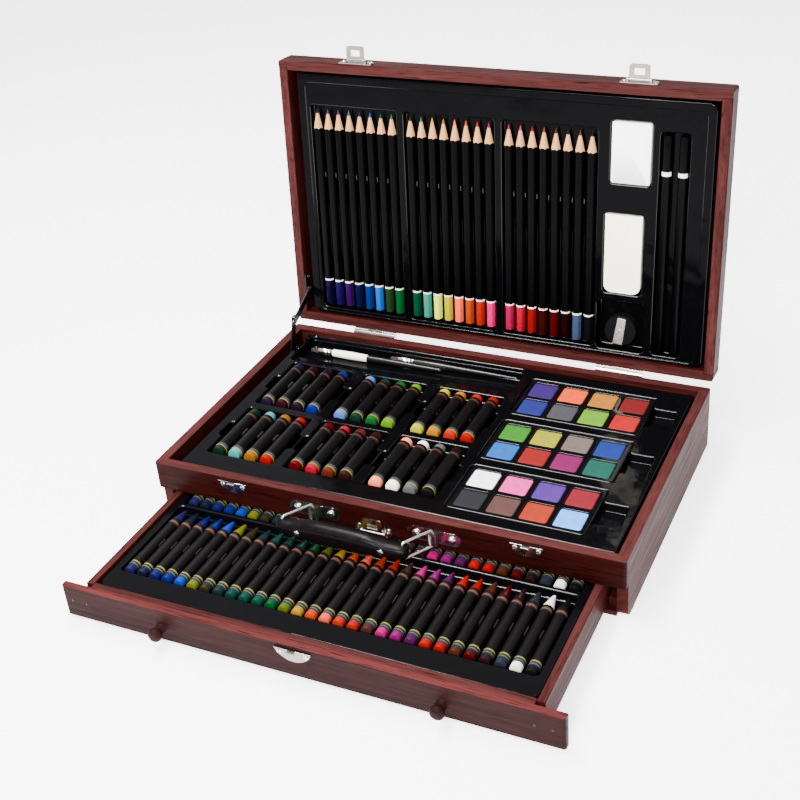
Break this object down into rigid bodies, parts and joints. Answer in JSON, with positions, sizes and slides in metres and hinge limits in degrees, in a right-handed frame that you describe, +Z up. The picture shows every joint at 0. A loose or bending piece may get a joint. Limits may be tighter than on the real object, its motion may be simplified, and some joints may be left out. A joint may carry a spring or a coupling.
{
  "type": "drawer organizer box",
  "caption": "Stained wooden art case with a hinged lid on a folding stay, a pull-out drawer, a carrying handle and fitted trays for pencils, pastels, crayons and paints.",
  "frame": {"origin": "middle of the underside of the case, without the pulled-out drawer", "axes": "+X to the right along the front, +Y to the back, +Z up; the drawer opens towards -Y and the lid is hinged at +Y"},
  "size_m": [0.376, 0.4137, 0.3025],
  "materials": {
    "stained_wood": "stained, satin lacquer",
    "stained_board": "stained thin board, satin",
    "tray_plastic": "vacuum-formed, satin flocked look",
    "nickel": "bright nickel plate",
    "black_steel": "black finish",
    "grip_vinyl": "soft dark plastic",
    "palette_plastic": "gloss",
    "paint_cake": "matt pressed colour",
    "pastel_stick": "paper wrapper over a waxy stick",
    "crayon_stick": "paper wrapper over a waxy stick",
    "pencil_lacquer": "black lacquer",
    "white_rubber": "matt white",
    "cream_rubber": "matt cream",
    "sharpener_plastic": "gloss black",
    "aluminium_block": "milled",
    "brush_lacquer": "black lacquer",
    "brush_hair": "fine brown hair"
  },
  "bodies": {
    "case": {"case_front_board": "stained_wood", "case_left_side": "stained_wood", "case_right_side": "stained_wood", "case_back_board": "stained_wood", "case_divider": "stained_board", "case_bottom": "stained_board", "drawer_runners": "stained_board", "base_tray": "tray_plastic", "pastels_back_row": "pastel_stick", "pastels_front_row": "pastel_stick", "paint_palettes": "palette_plastic", "paint_cakes": "paint_cake", "brush_handles": "brush_lacquer", "brush_ferrules": "nickel", "brush_tips": "brush_hair", "case_catches": "nickel", "drawer_latch_base": "nickel", "case_hinge_leaves": "nickel", "hinge_pins": "nickel", "handle_brackets": "nickel", "bracket_screws": "nickel", "stay_case_plate": "black_steel", "case_screws": "nickel"},
    "lid": {"lid_front_rail": "stained_wood", "lid_back_rail": "stained_wood", "lid_left_rail": "stained_wood", "lid_right_rail": "stained_wood", "lid_panel": "stained_board", "lid_tray": "tray_plastic", "coloured_pencils": "pencil_lacquer", "drawing_pencils": "pencil_lacquer", "eraser_white": "white_rubber", "eraser_cream": "cream_rubber", "sharpener_case": "sharpener_plastic", "sharpener_blade": "aluminium_block", "lid_latch_bases": "nickel", "lid_hinge_leaves": "nickel", "stay_lid_plate": "black_steel", "lid_screws": "nickel"},
    "drawer": {"drawer_front": "stained_wood", "drawer_box_front": "stained_wood", "drawer_left_side": "stained_wood", "drawer_right_side": "stained_wood", "drawer_back": "stained_wood", "drawer_bottom": "stained_board", "drawer_tray": "tray_plastic", "crayons_front_row": "crayon_stick", "crayons_back_row": "crayon_stick", "drawer_knobs": "stained_wood", "drawer_catch": "nickel", "drawer_screws": "nickel"},
    "lid_flap_left": {"lid_flap_left": "nickel"},
    "lid_flap_right": {"lid_flap_right": "nickel"},
    "drawer_flap": {"drawer_flap": "nickel"},
    "handle_ring_left": {"handle_ring_left": "nickel"},
    "handle_ring_right": {"handle_ring_right": "nickel"},
    "grip": {"handle_grip": "grip_vinyl", "grip_rivets": "nickel"},
    "stay_upper_link": {"stay_upper_link": "black_steel"},
    "stay_lower_link": {"stay_lower_link": "black_steel"}
  },
  "joints": [
    {"name": "lid_hinge", "type": "hinge", "parent": "case", "child": "lid", "pos_m": [0, 0.1207, 0.0518], "axis": [1, 0, 0], "range_deg": [0, 94.4]},
    {"name": "drawer_slide", "type": "slide", "parent": "case", "child": "drawer", "axis": [0, -1, 0], "range_m": [-0.1261, 0.045]},
    {"name": "lid_flap_left_hinge", "type": "hinge", "parent": "lid", "child": "lid_flap_left", "pos_m": [-0.1175, 0.14403, 0.29101], "axis": [1, 0, 0], "range_deg": [-80, 90]},
    {"name": "lid_flap_right_hinge", "type": "hinge", "parent": "lid", "child": "lid_flap_right", "pos_m": [0.1175, 0.14403, 0.29101], "axis": [1, 0, 0], "range_deg": [-80, 90]},
    {"name": "drawer_flap_hinge", "type": "hinge", "parent": "case", "child": "drawer_flap", "pos_m": [0, -0.1196, 0.033], "axis": [1, 0, 0], "range_deg": [0, 110]},
    {"name": "handle_left_hinge", "type": "hinge", "parent": "case", "child": "handle_ring_left", "pos_m": [-0.048, -0.1196, 0.0405], "axis": [0, 0, 1], "range_deg": [-31.7, 98.3]},
    {"name": "handle_right_hinge", "type": "hinge", "parent": "case", "child": "handle_ring_right", "pos_m": [0.048, -0.1196, 0.0405], "axis": [0, 0, 1], "range_deg": [-31.7, 98.3]},
    {"name": "grip_hinge", "type": "hinge", "parent": "handle_ring_left", "child": "grip", "pos_m": [-0.06178, -0.14058, 0.0405], "axis": [0, 0, 1], "range_deg": [-98.3, 31.7]},
    {"name": "stay_lower_hinge", "type": "hinge", "parent": "case", "child": "stay_lower_link", "pos_m": [-0.1782, 0.086, 0.04], "axis": [1, 0, 0], "range_deg": [0, 102]},
    {"name": "stay_upper_hinge", "type": "hinge", "parent": "lid", "child": "stay_upper_link", "pos_m": [-0.1765, 0.12792, 0.08404], "axis": [1, 0, 0], "range_deg": [-99, 0]}
  ],
  "couplings": [
    {"joint": "handle_right_hinge", "follows": "handle_left_hinge", "ratio": 1},
    {"joint": "grip_hinge", "follows": "handle_left_hinge", "ratio": -1},
    {"joint": "stay_lower_hinge", "follows": "lid_hinge", "ratio": 1.0768},
    {"joint": "stay_upper_hinge", "follows": "lid_hinge", "ratio": -1.0445}
  ]
}
